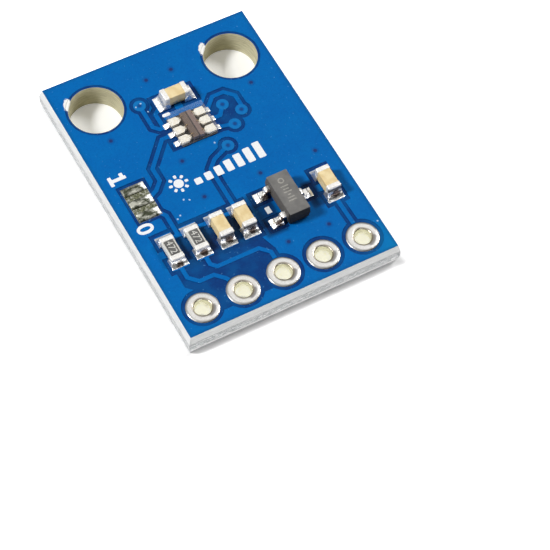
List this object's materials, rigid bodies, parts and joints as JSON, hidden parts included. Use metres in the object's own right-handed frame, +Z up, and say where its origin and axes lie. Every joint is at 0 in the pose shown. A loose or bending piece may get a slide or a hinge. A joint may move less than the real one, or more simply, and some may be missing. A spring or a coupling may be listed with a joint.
{
  "type": "light sensor module",
  "caption": "Small blue circuit board with a clear light sensor, a gull-wing regulator, chip parts, a solder jumper, mounting holes and a row of plated pin holes.",
  "frame": {"origin": "middle of the board's underside, which is the face that it rests on", "axes": "+X along the row of pin holes, +Y towards the mounting holes, +Z up out of the component face"},
  "size_m": [0.0134, 0.0186, 0.0027],
  "materials": {
    "coated_board": "blue coated glass laminate",
    "tin": "bright tin and solder",
    "tan_ceramic": "tan fired ceramic",
    "white_ceramic": "white fired ceramic",
    "dark_glaze": "dark glossy glaze",
    "grey_moulding": "matt moulding",
    "clear_resin": "clear cast resin",
    "sensor_chip": "polished chip",
    "gold": "gold flash on copper"
  },
  "bodies": {
    "root": {"printed_board": "coated_board", "plated_hole_1": "tin", "plated_hole_2": "tin", "plated_hole_3": "tin", "plated_hole_4": "tin", "plated_hole_5": "tin", "resistor_1_substrate": "white_ceramic", "resistor_1_ends": "tin", "resistor_1_overcoat": "dark_glaze", "resistor_1_solder": "tin", "resistor_2_substrate": "white_ceramic", "resistor_2_ends": "tin", "resistor_2_overcoat": "dark_glaze", "resistor_2_solder": "tin", "capacitor_1_body": "tan_ceramic", "capacitor_1_ends": "tin", "capacitor_1_solder": "tin", "capacitor_2_body": "tan_ceramic", "capacitor_2_ends": "tin", "capacitor_2_solder": "tin", "capacitor_3_body": "tan_ceramic", "capacitor_3_ends": "tin", "capacitor_3_solder": "tin", "capacitor_4_body": "tan_ceramic", "capacitor_4_ends": "tin", "capacitor_4_solder": "tin", "regulator_body": "grey_moulding", "regulator_lead_1": "tin", "regulator_lead_2": "tin", "regulator_lead_3": "tin", "regulator_solder": "tin", "sensor_package": "clear_resin", "sensor_die": "sensor_chip", "sensor_contacts": "gold", "sensor_solder": "tin", "jumper_solder_1": "tin", "jumper_solder_2": "tin", "jumper_solder_3": "tin"}
  },
  "joints": []
}
